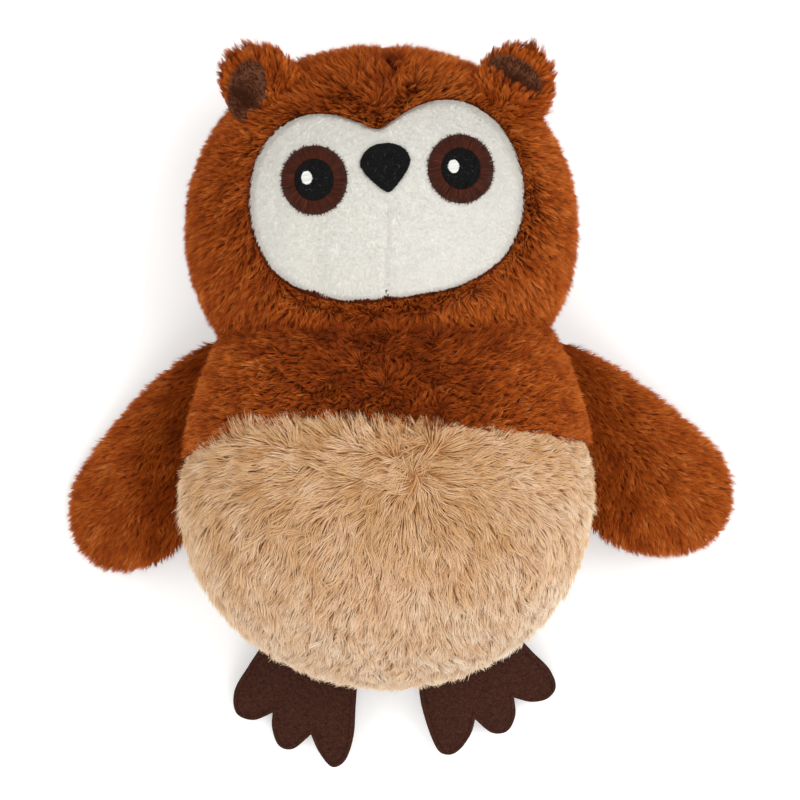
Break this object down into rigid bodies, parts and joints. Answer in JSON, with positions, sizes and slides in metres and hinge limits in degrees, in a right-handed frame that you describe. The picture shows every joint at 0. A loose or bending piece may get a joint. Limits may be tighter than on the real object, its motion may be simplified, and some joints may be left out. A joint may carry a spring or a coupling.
{
  "type": "plush owl",
  "caption": "Plush owl lying on its back: stuffed fur body and head, pale face cloth with embroidered eyes and beak, sewn-in wings and felt feet that swing.",
  "frame": {"origin": "on the flat spot of the back that the owl rests on, at the height of the floor and on its midline", "axes": "+Y from the feet to the crown, +Z out of the face and belly, +X to the right as the face is seen"},
  "size_m": [0.2646, 0.2883, 0.112],
  "materials": {
    "brown_fur": "medium pile faux fur, soft and matt, combed",
    "beige_fur": "long pile faux fur, tufted and matt",
    "white_plush": "very short pile velour, matt",
    "dark_brown_thread": "satin stitch embroidery, slight sheen",
    "black_thread": "satin stitch embroidery, slight sheen",
    "pale_thread": "satin stitch embroidery, slight sheen",
    "brown_felt": "pressed felt, matt",
    "ear_plush": "short pile plush, matt",
    "polyester_stuffing": "loose fibre fill"
  },
  "bodies": {
    "owl_body": {"beak": "black_thread", "belly_panel": "beige_fur", "body_back_panel": "brown_fur", "body_stuffing": "polyester_stuffing", "chest_panel": "brown_fur", "ear_left": "brown_fur", "ear_lining_left": "ear_plush", "ear_lining_right": "ear_plush", "ear_right": "brown_fur", "eye_glint_left": "pale_thread", "eye_glint_right": "pale_thread", "eye_ring_left": "dark_brown_thread", "eye_ring_right": "dark_brown_thread", "face_panel_left": "white_plush", "face_panel_right": "white_plush", "head_back_panel": "brown_fur", "head_cover_left": "brown_fur", "head_cover_right": "brown_fur", "head_stuffing": "polyester_stuffing", "pupil_left": "black_thread", "pupil_right": "black_thread"},
    "wing_left": {"wing_left_back_cover": "brown_fur", "wing_left_front_cover": "brown_fur", "wing_left_stuffing": "polyester_stuffing"},
    "wing_right": {"wing_right_back_cover": "brown_fur", "wing_right_front_cover": "brown_fur", "wing_right_stuffing": "polyester_stuffing"},
    "foot_left": {"foot_left_lower_felt": "brown_felt", "foot_left_upper_felt": "brown_felt"},
    "foot_right": {"foot_right_lower_felt": "brown_felt", "foot_right_upper_felt": "brown_felt"}
  },
  "joints": [
    {"name": "wing_left_swing", "type": "hinge", "parent": "owl_body", "child": "wing_left", "pos_m": [-0.07068, 0.052, 0.029], "axis": [0.2079, 0.9781, 0], "range_deg": [-45, 70]},
    {"name": "wing_right_swing", "type": "hinge", "parent": "owl_body", "child": "wing_right", "pos_m": [0.07068, 0.052, 0.029], "axis": [0.2079, -0.9781, 0], "range_deg": [-50, 64]},
    {"name": "foot_left_swing", "type": "hinge", "parent": "owl_body", "child": "foot_left", "pos_m": [-0.05041, -0.05703, 0.022], "axis": [-0.9205, 0.3907, 0], "range_deg": [-60, 80]},
    {"name": "foot_right_swing", "type": "hinge", "parent": "owl_body", "child": "foot_right", "pos_m": [0.05298, -0.05486, 0.022], "axis": [-0.8988, -0.4384, 0], "range_deg": [-57, 80]}
  ]
}
